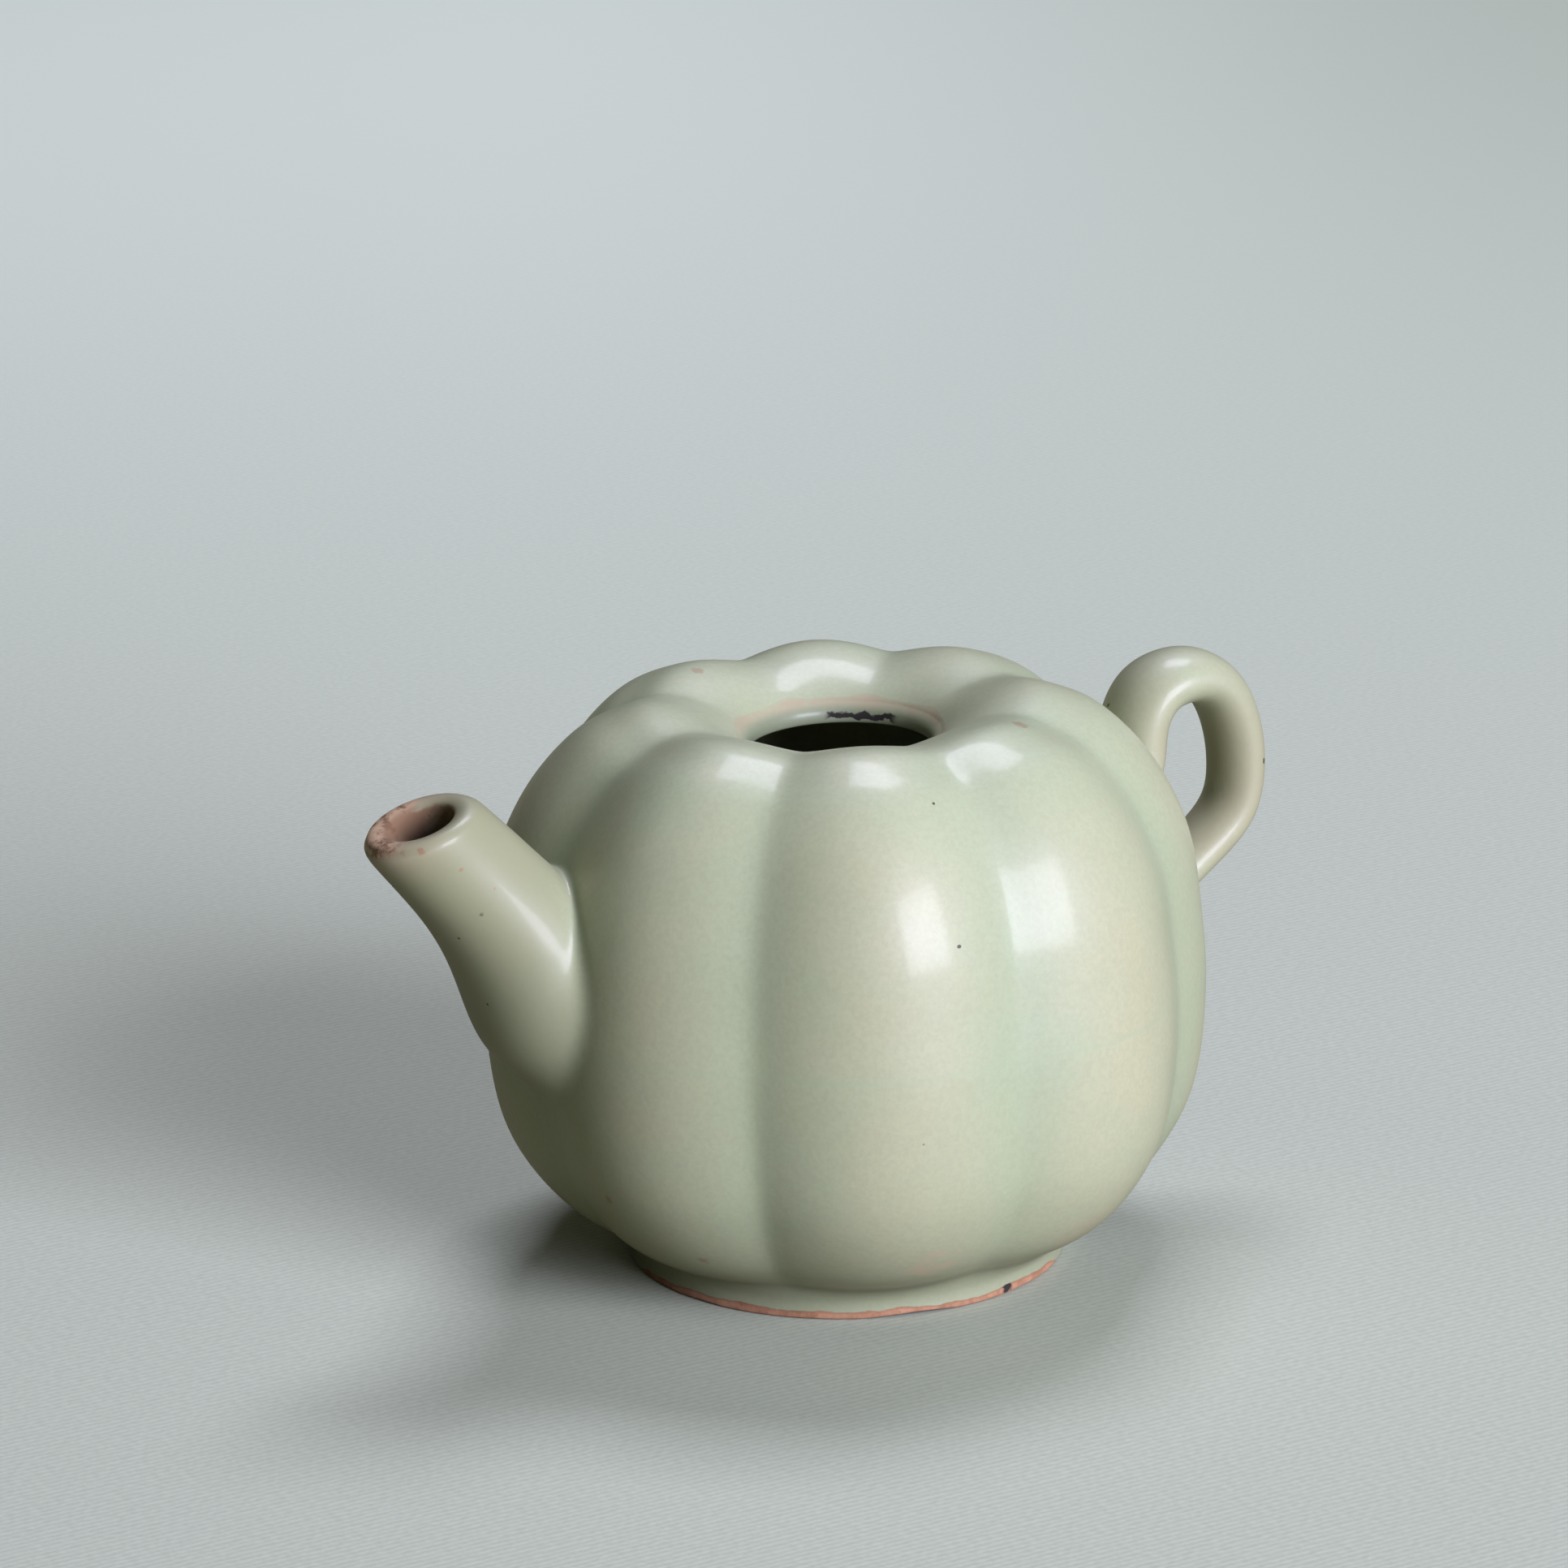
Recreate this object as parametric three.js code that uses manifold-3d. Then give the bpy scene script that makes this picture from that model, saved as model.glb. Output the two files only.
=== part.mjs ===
// Melon-shaped ewer: a hollow stoneware body of eight lobes, closed from two moulded halves, with a
// turned foot ring, a rim ring in its sunken mouth, a short pouring spout and a strap handle.
// The pieces are joined leather-hard with beads of slip, which are solids of their own here.
// Millimetres, +Z up. The spout points along -X and the handle along +X.

import * as THREE from "three";
import { mergeVertices } from "three/addons/utils/BufferGeometryUtils.js";
import Module from "manifold-3d";

// Driving dimensions of the body
const LOBES = 8;
const FOOT_RADIUS = 32.9;
const FOOT_HEIGHT = 4;
const BELLY_RADIUS = 52.5;
const BELLY_HEIGHT = 38;
const CREST_RADIUS = 27.5;
const CREST_HEIGHT = 83;
const GROOVE_DEPTH = 3.4;
const GROOVE_SOFTNESS = 0.13;
const SEAM_RISE = 4.6;
const WALL = 4.4;
const INNER_LOBING = 0.7;

// Driving dimensions of the mouth and the foot
const MOUTH_RADIUS = 13.2;
const RIM_WIDTH = 2.8;
const RIM_DROP = 4;
const RIM_FALL = 1.4;
const RIM_ROUND = 1.4;
const FOOT_RING_WIDTH = 5.2;
const FOOT_COVE = 0.6;
const FOOT_EDGE = 1.2;

// Driving dimensions of the spout, in the plane Y = 0. Its root and tip are placed from the belly's
// widest line and from the crests' tops.
const SPOUT_STANDOUT = 15.1;
const SPOUT_TIP_DROP = 6.8;
const SPOUT_ROOT_SINK = 5.5;
const SPOUT_ROOT_RISE = 12;
const SPOUT_TIP_RADIUS = 8.5;
const SPOUT_ROOT_RADIUS = 13.5;
const SPOUT_LIP_TILT = THREE.MathUtils.degToRad(18);
const SPOUT_LIP_ROUND = 0.9;
const BORE_RADIUS = 4.5;
const SPOUT_FLARE = 2.2;
const SPOUT_SUNK_SHARE = 0.45;

// Driving dimensions of the handle, in the plane Y = 0, placed from the same lines
const HANDLE_STANDOUT = 14.7;
const HANDLE_TOP_DROP = 6.3;
const HANDLE_UPPER_ROOT_RISE = 23;
const HANDLE_LOWER_ROOT_RISE = 3.5;
const STRAP_UPPER_WIDTH = 13;
const STRAP_LOWER_WIDTH = 10.2;
const STRAP_UPPER_THICKNESS = 7.8;
const STRAP_LOWER_THICKNESS = 5.4;
const STRAP_SQUARENESS = 0.75;
const ROOT_DIP = 3.1;

// Driving dimensions of the slip: a flat bead inside the seam, and round beads at the joints outside
const BEAD_HEIGHT = 8;
const BEAD_THICKNESS = 1.6;
const SPOUT_BEAD_RADIUS = 2.4;
const HANDLE_BEAD_RADIUS = 1.6;

// Fits and fineness
const CLEARANCE = 0.3;
const SIDES_PER_LOBE = 10;
const BODY_SIDES = LOBES * SIDES_PER_LOBE;
const TURNED_SIDES = 56;
const TUBE_SIDES = 28;
const STRAP_SIDES = 16;
const BEAD_SIDES = 8;

const wasm = await Module();
wasm.setup();

// A lobe's crest line from the foot to the rim. Each row holds the share of the way across, the share
// of the way up, and the share of the groove's full depth beside it.
const LOWER_STEPS = [[0, 0, 0.08], [0.39, 0.13, 0.5], [0.735, 0.36, 0.82], [0.925, 0.62, 0.94], [1, 1, 0.98]];
const UPPER_STEPS = [[0.02, 0.24, 0.98], [0.08, 0.5, 1], [0.28, 0.74, 0.93], [0.56, 0.905, 0.72],
  [0.8, 0.97, 0.6], [1, 1, 0.46]];
const NECK_STEPS = [[0.49, 0.25, 0.26], [0.72, 0.54, 0.15], [1, 1, 0.04]];

const rimOuterRadius = MOUTH_RADIUS + RIM_WIDTH;
const mouthHoleRadius = rimOuterRadius + CLEARANCE;
const mouthHeight = CREST_HEIGHT - RIM_DROP;
const seamHeight = BELLY_HEIGHT + SEAM_RISE;

function steps(rows, from, to) {
  return rows.map(([across, up, depth]) => new THREE.Vector3(
    THREE.MathUtils.lerp(from.x, to.x, across),
    THREE.MathUtils.lerp(from.y, to.y, up),
    depth * GROOVE_DEPTH,
  ));
}

const footPoint = new THREE.Vector2(FOOT_RADIUS, FOOT_HEIGHT);
const bellyPoint = new THREE.Vector2(BELLY_RADIUS, BELLY_HEIGHT);
const crestPoint = new THREE.Vector2(CREST_RADIUS, CREST_HEIGHT);
const mouthPoint = new THREE.Vector2(mouthHoleRadius, mouthHeight);
const crestLine = new THREE.CatmullRomCurve3([
  ...steps(LOWER_STEPS, footPoint, bellyPoint),
  ...steps(UPPER_STEPS, bellyPoint, crestPoint),
  ...steps(NECK_STEPS, crestPoint, mouthPoint),
]);

// The share of a lobe's fullness at an angle: 0 in a groove and 1 on a crest.
function fullness(angle) {
  const wave = Math.abs(Math.sin(angle * LOBES / 2));
  const soft = Math.hypot(wave, GROOVE_SOFTNESS) - GROOVE_SOFTNESS;
  return soft / (Math.hypot(1, GROOVE_SOFTNESS) - GROOVE_SOFTNESS);
}

// Radius and height of the body's surface at a step along the crest line, moved in by an inset.
function bodySection(along, angle, inset, lobing) {
  const place = crestLine.getPoint(along);
  const run = crestLine.getTangent(along);
  const outward = new THREE.Vector2(run.y, -run.x).normalize();
  const depth = inset + lobing * place.z * (1 - fullness(angle));
  return new THREE.Vector2(place.x - outward.x * depth, place.y - outward.y * depth);
}

function ring(sides, pointAt) {
  return Array.from({ length: sides }, (_, side) => pointAt(2 * Math.PI * side / sides));
}

function around(radius, height, angle) {
  return new THREE.Vector3(radius * Math.cos(angle), radius * Math.sin(angle), height);
}

function bodyRing(along, inset = 0, lobing = 1, fix = {}) {
  return ring(BODY_SIDES, (angle) => {
    const section = bodySection(along, angle, inset, lobing);
    return around(fix.radius ?? section.x, fix.height ?? section.y, angle);
  });
}

// Joins rings of equal count into one skin. Open ends are closed by a fan of triangles, and a loop
// runs from its last ring back to its first.
function loft(rings, isLoop = false) {
  const sides = rings[0].length;
  const points = rings.flat();
  const index = [];
  const spans = isLoop ? rings.length : rings.length - 1;
  for (let span = 0; span < spans; span++) {
    const low = span * sides;
    const high = ((span + 1) % rings.length) * sides;
    for (let side = 0; side < sides; side++) {
      const next = (side + 1) % sides;
      index.push(low + side, low + next, high + next, low + side, high + next, high + side);
    }
  }
  if (!isLoop) {
    const last = (rings.length - 1) * sides;
    const centres = [rings[0], rings[rings.length - 1]].map((loop) => loop
      .reduce((sum, point) => sum.add(point), new THREE.Vector3()).divideScalar(sides));
    points.push(...centres);
    for (let side = 0; side < sides; side++) {
      const next = (side + 1) % sides;
      index.push(points.length - 2, next, side, points.length - 1, last + side, last + next);
    }
  }
  const geometry = new THREE.BufferGeometry().setFromPoints(points);
  geometry.setIndex(index);
  return geometry;
}

function toSolid(geometry) {
  const bare = geometry.clone();
  bare.deleteAttribute("normal");
  bare.deleteAttribute("uv");
  const merged = mergeVertices(bare);
  return new wasm.Manifold(new wasm.Mesh({
    numProp: 3,
    vertProperties: merged.attributes.position.array,
    triVerts: new Uint32Array(merged.index.array),
  }));
}

function toGeometry(solid) {
  const mesh = solid.getMesh();
  const geometry = new THREE.BufferGeometry();
  geometry.setAttribute("position", new THREE.BufferAttribute(mesh.vertProperties, mesh.numProp));
  geometry.setIndex(new THREE.BufferAttribute(mesh.triVerts, 1));
  return geometry;
}

// Even steps along a stretch of the crest line, both ends included.
function stretch(from, to, count) {
  return Array.from({ length: count + 1 }, (_, step) => THREE.MathUtils.lerp(from, to, step / count));
}

// The value between two limits where a test turns from true to false.
function turningPoint(from, to, isBefore) {
  let before = from;
  let after = to;
  for (let halving = 0; halving < 30; halving++) {
    const middle = (before + after) / 2;
    if (isBefore(middle)) {
      before = middle;
    } else {
      after = middle;
    }
  }
  return before;
}

// The step along the crest line where it first reaches a height.
const crestStep = (LOWER_STEPS.length + UPPER_STEPS.length - 1) / (crestLine.points.length - 1);

function stepAtHeight(height) {
  return turningPoint(0, crestStep, (along) => crestLine.getPoint(along).y < height);
}

function isOutsideBody(point) {
  const angle = Math.atan2(point.y, point.x);
  return Math.hypot(point.x, point.y) > bodySection(stepAtHeight(point.z), angle, 0, 1).x;
}

// A round bead of slip laid along the line where a luted piece meets the body. Each of the piece's
// ribs is followed from outside the body until it meets the body's surface.
function jointBead(ribAt, sides, from, to, radius, pieceForm) {
  const line = Array.from({ length: sides }, (_, side) => {
    const along = turningPoint(from, to, (step) => isOutsideBody(ribAt(step)[side]));
    return ribAt(along)[side];
  });
  const path = new THREE.CatmullRomCurve3(line, true);
  const bead = toSolid(new THREE.TubeGeometry(path, sides * 2, radius, BEAD_SIDES, true));
  return toGeometry(bead.subtract(bodyForm(CLEARANCE)).subtract(pieceForm(CLEARANCE)));
}

const seamStep = stepAtHeight(seamHeight);

function footRingGeometry() {
  const inner = FOOT_RADIUS - FOOT_RING_WIDTH;
  const cove = new THREE.QuadraticBezierCurve(
    new THREE.Vector2(FOOT_RADIUS, FOOT_EDGE),
    new THREE.Vector2(FOOT_RADIUS - 2 * FOOT_COVE, (FOOT_EDGE + FOOT_HEIGHT) / 2),
    new THREE.Vector2(FOOT_RADIUS, FOOT_HEIGHT),
  );
  const outline = [
    new THREE.Vector2(inner + FOOT_EDGE, 0),
    new THREE.Vector2(FOOT_RADIUS - FOOT_EDGE / 2, 0),
    new THREE.Vector2(FOOT_RADIUS, FOOT_EDGE / 2),
    ...cove.getPoints(4),
    new THREE.Vector2(inner, FOOT_HEIGHT),
    new THREE.Vector2(inner, FOOT_EDGE),
  ];
  return turned(outline);
}

// A closed outline of radius and height, turned about the upright axis.
function turned(outline) {
  return loft(outline.map((point) => ring(TURNED_SIDES, (angle) => around(point.x, point.y, angle))), true);
}

function lowerBodyGeometry() {
  const outer = stretch(0, seamStep, 8).map((along, step, all) => {
    const height = { 0: FOOT_HEIGHT, [all.length - 1]: seamHeight }[step];
    return bodyRing(along, 0, 1, { height });
  });
  const inner = stretch(seamStep, 0, 5).map((along, step) => {
    return bodyRing(along, WALL, INNER_LOBING, step === 0 ? { height: seamHeight } : {});
  });
  return loft([...outer, ...inner]);
}

function upperBodyGeometry() {
  const outer = stretch(seamStep, 1, 12).map((along, step, all) => {
    const fix = step === 0 ? { height: seamHeight } : {};
    return bodyRing(along, 0, 1, step === all.length - 1 ? { radius: mouthHoleRadius } : fix);
  });
  const inner = stretch(1, seamStep, 7).map((along, step, all) => {
    const fix = step === 0 ? { radius: mouthHoleRadius } : {};
    return bodyRing(along, WALL, INNER_LOBING, step === all.length - 1 ? { height: seamHeight } : fix);
  });
  return toGeometry(toSolid(loft([...outer, ...inner], true)).subtract(toSolid(boreGeometry())));
}

// The body's outer form as one filled solid, grown by a gap, which trims what is luted to it.
function bodyForm(gap) {
  return toSolid(loft(stretch(0, 1, 26).map((along) => bodyRing(along, -gap))));
}

// The ring's top falls inwards, as the neck does, and rounds over into the mouth.
function mouthRimGeometry() {
  const round = new THREE.Path();
  const roundHeight = mouthHeight - RIM_FALL - RIM_ROUND;
  round.absarc(MOUTH_RADIUS + RIM_ROUND, roundHeight, RIM_ROUND, Math.PI, Math.PI / 2, true);
  const outline = [
    new THREE.Vector2(MOUTH_RADIUS, mouthHeight - WALL),
    new THREE.Vector2(rimOuterRadius, mouthHeight - WALL),
    new THREE.Vector2(rimOuterRadius, mouthHeight),
    ...round.getPoints(4).reverse(),
  ];
  return turned(outline);
}

// The bead's section, as shares of its half height and its thickness
const BEAD_STEPS = [[1, 0], [1, 0.4], [0.5, 1], [-0.5, 1], [-1, 0.4], [-1, 0]];

function seamBeadGeometry() {
  return loft(BEAD_STEPS.map(([rise, swell]) => {
    const height = seamHeight + rise * BEAD_HEIGHT / 2;
    const inset = WALL + CLEARANCE + swell * BEAD_THICKNESS;
    return bodyRing(stepAtHeight(height), inset, INNER_LOBING, { height });
  }), true);
}

// The spout's middle line, from inside the body to the middle of the lip
const spoutTip = new THREE.Vector3(-BELLY_RADIUS - SPOUT_STANDOUT, 0, CREST_HEIGHT - SPOUT_TIP_DROP);
const spoutRoot = new THREE.Vector3(SPOUT_ROOT_SINK - BELLY_RADIUS, 0, BELLY_HEIGHT + SPOUT_ROOT_RISE);
const spoutRun = new THREE.Vector3().subVectors(spoutTip, spoutRoot);
const spoutStart = spoutRoot.clone().addScaledVector(spoutRun, -SPOUT_SUNK_SHARE);
const spoutLine = new THREE.LineCurve3(spoutStart, spoutTip);
const lipNormal = new THREE.Vector3(-Math.sin(SPOUT_LIP_TILT), 0, Math.cos(SPOUT_LIP_TILT));

// The share of the middle line where its rings begin to turn into the lip's plane
const LIP_TURN_START = 0.55;

// A round ring about the spout's middle line. It turns from square to the line into the lip's plane.
function spoutRing(along, radius, drop = 0) {
  const square = spoutRun.clone().normalize();
  const turn = THREE.MathUtils.smoothstep(along, LIP_TURN_START, 1);
  const normal = square.lerp(lipNormal, turn).normalize();
  const upright = new THREE.Vector3(0, 1, 0).cross(normal);
  const centre = spoutLine.getPoint(along).addScaledVector(normal, -drop);
  return ring(TUBE_SIDES, (angle) => centre.clone()
    .addScaledVector(upright, radius * Math.cos(angle))
    .add(new THREE.Vector3(0, radius * Math.sin(angle), 0)));
}

const spoutRootStep = SPOUT_SUNK_SHARE / (1 + SPOUT_SUNK_SHARE);

function spoutRadius(along) {
  const toTip = Math.max(0, (along - spoutRootStep) / (1 - spoutRootStep));
  return THREE.MathUtils.lerp(SPOUT_TIP_RADIUS, SPOUT_ROOT_RADIUS, (1 - toTip) ** SPOUT_FLARE);
}

// The middle line's share where the outside ends and the lip's rounding begins
const LIP_START = 0.92;

// The bore as a filled rod, drawn past the lip
function boreGeometry() {
  const pastLip = 1 + (1 - LIP_START);
  return loft(stretch(0, pastLip, 3).map((along) => spoutRing(along, BORE_RADIUS)));
}

function spoutForm(gap) {
  const shoulder = stretch(0, LIP_START, 9).map((along) => spoutRing(along, spoutRadius(along) + gap));
  return toSolid(loft([...shoulder, spoutRing(1, SPOUT_TIP_RADIUS + gap)]));
}

function spoutGeometry() {
  const outer = stretch(0, LIP_START, 9).map((along) => spoutRing(along, spoutRadius(along)));
  const innerRound = SPOUT_LIP_ROUND / 2;
  const corner = SPOUT_LIP_ROUND * (1 - Math.SQRT1_2);
  const lip = [
    spoutRing(1, SPOUT_TIP_RADIUS, SPOUT_LIP_ROUND),
    spoutRing(1, SPOUT_TIP_RADIUS - corner, corner),
    spoutRing(1, SPOUT_TIP_RADIUS - SPOUT_LIP_ROUND),
    spoutRing(1, BORE_RADIUS + innerRound),
    spoutRing(1, BORE_RADIUS, innerRound),
  ];
  const bore = stretch(LIP_START, 0, 4).map((along) => spoutRing(along, BORE_RADIUS));
  return toGeometry(toSolid(loft([...outer, ...lip, ...bore], true)).subtract(bodyForm(CLEARANCE)));
}

function spoutSlipGeometry() {
  const ribAt = (along) => spoutRing(along, spoutRadius(along));
  return jointBead(ribAt, TUBE_SIDES, 1, 0, SPOUT_BEAD_RADIUS, spoutForm);
}

// Radius of a groove's floor at a height, where the handle is rooted
function grooveRadius(height) {
  return bodySection(stepAtHeight(height), 0, 0, 1).x;
}

// The handle's middle line: up the shoulder, round the loop and back into the belly. Each step holds
// the share of the way out from the lower root and the share of the way up to the top.
const upperRootHeight = BELLY_HEIGHT + HANDLE_UPPER_ROOT_RISE;
const lowerRootHeight = BELLY_HEIGHT + HANDLE_LOWER_ROOT_RISE;
const upperRoot = new THREE.Vector3(grooveRadius(upperRootHeight), 0, upperRootHeight);
const lowerRoot = new THREE.Vector3(grooveRadius(lowerRootHeight), 0, lowerRootHeight);
const loopDepth = BELLY_RADIUS + HANDLE_STANDOUT - lowerRoot.x;
const loopHeight = CREST_HEIGHT - HANDLE_TOP_DROP - lowerRootHeight;
const LOOP_STEPS = [[0, 0.66], [0, 0.81], [0.13, 0.945], [0.35, 1], [0.6, 1], [0.8, 0.925],
  [0.93, 0.8], [0.985, 0.66], [1, 0.52], [0.945, 0.38], [0.77, 0.27], [0.51, 0.175], [0.24, 0.075]];
const sunkEnd = new THREE.Vector3(-WALL, 0, -ROOT_DIP);
const handleLine = new THREE.CatmullRomCurve3([
  upperRoot.clone().add(sunkEnd),
  upperRoot,
  ...LOOP_STEPS.map(([out, up]) => new THREE.Vector3(
    lowerRoot.x + out * loopDepth, 0, lowerRootHeight + up * loopHeight)),
  lowerRoot,
  lowerRoot.clone().add(sunkEnd),
]);

// The shares of the middle line between which the strap thins towards its lower root
const TAPER_START = 0.35;
const TAPER_END = 0.95;

// A strap's section: flat faces with full, rounded edges
function strapRing(along, gap = 0) {
  const run = handleLine.getTangentAt(along);
  const side = new THREE.Vector3(0, 1, 0);
  const across = new THREE.Vector3().crossVectors(run, side).normalize();
  const taper = THREE.MathUtils.smoothstep(along, TAPER_START, TAPER_END);
  const halfWidth = THREE.MathUtils.lerp(STRAP_UPPER_WIDTH, STRAP_LOWER_WIDTH, taper) / 2 + gap;
  const halfThickness = THREE.MathUtils.lerp(STRAP_UPPER_THICKNESS, STRAP_LOWER_THICKNESS, taper) / 2 + gap;
  return ring(STRAP_SIDES, (angle) => {
    const wide = Math.sign(Math.cos(angle)) * Math.abs(Math.cos(angle)) ** STRAP_SQUARENESS;
    const thick = Math.sign(Math.sin(angle)) * Math.abs(Math.sin(angle)) ** STRAP_SQUARENESS;
    return handleLine.getPointAt(along)
      .addScaledVector(side, halfWidth * wide)
      .addScaledVector(across, halfThickness * thick);
  });
}

function handleForm(gap) {
  return toSolid(loft(stretch(0, 1, 30).map((along) => strapRing(along, gap))));
}

function handleGeometry() {
  return toGeometry(handleForm(0).subtract(bodyForm(CLEARANCE)));
}

function handleSlipGeometry(end) {
  const ribAt = (along) => strapRing(along);
  return jointBead(ribAt, STRAP_SIDES, 0.5, end, HANDLE_BEAD_RADIUS, handleForm);
}

function celadon() {
  return new THREE.MeshStandardMaterial({ color: 0xb3b59d, roughness: 0.22, metalness: 0 });
}

function thinGlaze() {
  return new THREE.MeshStandardMaterial({ color: 0xc9b5a0, roughness: 0.3, metalness: 0 });
}

function slip() {
  return new THREE.MeshStandardMaterial({ color: 0xa9ab92, roughness: 0.3, metalness: 0 });
}

const ewer = new THREE.Group();

function place(name, geometry, material) {
  const mesh = new THREE.Mesh(geometry, material);
  mesh.name = name;
  ewer.add(mesh);
}

place("foot_ring", footRingGeometry(), celadon());
place("lower_body", lowerBodyGeometry(), celadon());
place("upper_body", upperBodyGeometry(), celadon());
place("seam_bead", seamBeadGeometry(), slip());
place("mouth_rim", mouthRimGeometry(), thinGlaze());
place("spout", spoutGeometry(), celadon());
place("spout_slip", spoutSlipGeometry(), slip());
place("handle", handleGeometry(), celadon());
place("handle_upper_slip", handleSlipGeometry(0), slip());
place("handle_lower_slip", handleSlipGeometry(1), slip());

// The origin is under the middle of the whole ewer, on the surface that it stands on.
const bounds = new THREE.Box3().setFromObject(ewer);
const middle = bounds.getCenter(new THREE.Vector3());
ewer.position.set(-middle.x, -middle.y, -bounds.min.z);

export default ewer;
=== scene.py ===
import math

import bpy
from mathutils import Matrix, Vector
from mathutils.bvhtree import BVHTree
from mathutils.geometry import interpolate_bezier


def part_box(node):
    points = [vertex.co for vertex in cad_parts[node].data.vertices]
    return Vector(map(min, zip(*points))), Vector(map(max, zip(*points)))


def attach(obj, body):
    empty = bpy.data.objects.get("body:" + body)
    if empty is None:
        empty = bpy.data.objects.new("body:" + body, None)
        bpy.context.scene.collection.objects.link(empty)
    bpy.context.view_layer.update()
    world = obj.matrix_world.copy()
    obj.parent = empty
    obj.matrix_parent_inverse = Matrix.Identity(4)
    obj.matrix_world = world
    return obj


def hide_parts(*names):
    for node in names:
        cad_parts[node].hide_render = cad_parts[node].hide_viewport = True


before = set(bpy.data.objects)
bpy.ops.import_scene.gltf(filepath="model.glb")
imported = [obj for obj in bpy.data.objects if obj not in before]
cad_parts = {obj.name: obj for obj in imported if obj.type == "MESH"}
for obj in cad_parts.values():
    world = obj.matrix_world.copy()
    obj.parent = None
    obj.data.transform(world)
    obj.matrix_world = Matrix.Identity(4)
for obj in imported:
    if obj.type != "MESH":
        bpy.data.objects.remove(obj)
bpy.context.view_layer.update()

# Lobed body. Two moulded halves of grey stoneware, joined edge to edge at the waist while they were
# leather-hard. Its skin is turned first, the grooves are pressed in, the wall grows inwards, and the
# seam is cut flat. The celadon glaze is grey-green where it has run together, and buff where it is thin.
MM = 0.001
UP = (0, 0, 1)
TINY = 1e-6
LOBES = 8
BODY_SIDES = 112
WALL = 4.4 * MM
WALL_FINENESS = 2
SMOOTH_ANGLE = math.radians(50)

# Grooves: their full depth, how closely points are drawn together beside them, and how crisp they are at
# two heights in mm
GROOVE_DEPTH = 3.4 * MM
GROOVE_GATHER = 0.5
GROOVE_CRISP = 0.11
CRISP_HEIGHT = 30
GROOVE_SOFT = 0.24
SOFT_HEIGHT = 76

body_low, body_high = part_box("lower_body")
AXIS_X = (body_low.x + body_high.x) / 2
BASE_HEIGHT = body_low.z
SEAM_HEIGHT = body_high.z

# A lobe's crest line from the foot to the mouth: radius and height in mm, and the groove's share
CREST_POINTS = [(32.2, 4, 0.08), (41, 8.5, 0.46), (47.7, 16.2, 0.8), (51.3, 25, 0.94), (52.6, 38, 0.98),
                (52, 48.9, 0.98), (50.4, 60.6, 1), (45.4, 71.2, 0.93), (38.5, 78.7, 0.72),
                (32.6, 81.7, 0.6), (27.5, 83, 0.46), (22, 82, 0.26), (17.2, 79.7, 0.06), (14.4, 77.5, 0)]
CREST_CUTS = 2
FLOOR_STEPS = [8, 18, 27]
FLOOR_EDGE = CREST_POINTS[0][0] - 1

# A shallow dent low on the photo's right: azimuth, then distance from the axis, height and radius in mm,
# and how deep it is as a share of a groove
DENT_AZIMUTH = math.radians(-62)
DENT_REACH = 52
DENT_HEIGHT = 43
DENT_RADIUS = 5
DENT_SHARE = 0.13

# Glaze that has run together round the spout's root: its middle, half width and half height in mm, and
# how softly it ends
SPOUT_ROOT = (-50, 47)
SPOUT_ROOT_WIDE = 14
SPOUT_ROOT_TALL = 17
ROOT_POOL = 0.25

GLAZE_SAGE = (0.372, 0.388, 0.241, 1)
GLAZE_BUFF = (0.40, 0.404, 0.253, 1)
GLAZE_POOLED = (0.312, 0.375, 0.232, 1)
GLAZE_GREEN = (0.33, 0.394, 0.247, 1)
GLAZE_PINK = (0.43, 0.325, 0.222, 1)
GLAZE_GRAIN = (0.20, 0.19, 0.125, 1)
# A deep grey-green: painted shade in the cove, down the throat and under the spout, and glaze runs under
# the spout
DEEP_GLAZE_AND_SHADE = (0.17, 0.205, 0.125, 1)
POOLED_SHARE = 0.8
SPECK_BROWN = (0.05, 0.035, 0.02, 1)
SPECK_RUST = (0.27, 0.13, 0.065, 1)
INSIDE_BROWN = (0.065, 0.04, 0.022, 1)
INSIDE_GREY = (0.11, 0.085, 0.055, 1)

# Surface: the glaze is satin under a thin clear coat, and its skin is faintly uneven
COAT = 0.17
COAT_ROUGHNESS = 0.15
COAT_IOR = 1.5
SPECULAR_LEVEL = 0.5
SATIN_LOW = 0.46
SATIN_HIGH = 0.58
CLAY_ROUGHNESS = 0.85
INSIDE_ROUGHNESS = 0.55
SKIN_STRENGTH = 0.4
SKIN_DEPTH = 0.5 * MM
FINE_SKIN = 0.18
BROAD_SKIN = 0.5
CLAY_SKIN = 0.8
GLAZE_STEP = 0.6

# Distances in mm between which the glaze changes: on the shoulder, in the cove, where it is darkened as
# painted shade, and along the waist
SHOULDER_SPAN = (66, 80)
COVE_SHADE_SPAN = (17, 2)
WAIST_SPAN = (0.9, 0)

# Marks fired into the glaze: across, aside and up from the middle of the foot, and radius, in mm
BODY_SPECKS = [(-9, -48.1, 60.3, 0.3), (-16, -49.3, 33.1, 0.25), (-6.4, -37.3, 77.7, 0.25)]
BODY_RUST = [(-46.9, -14.4, 20.4, 0.8), (-36.8, -22.7, 11.9, 0.9), (-10.6, 22.7, 83.1, 1.1),
             (15.1, -25, 82.3, 1.3)]
BODY_FLUSHES = [(14.2, -41.1, 11, 4), (-10.7, -42.5, 11, 4.5), (27.5, -39.4, 17, 4)]

# A mark's edge wanders by a share of its radius, and fades between two shares of it
MARK_SCALE = 1500
MARK_SPREAD = 0.8
MARK_EDGE = (1.2, 0.6)


def on_axis(across, height):
    """A point of the plane through spout and handle, from millimetres about the body's axis."""
    return Vector((AXIS_X + across * MM, 0, height * MM))


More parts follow.
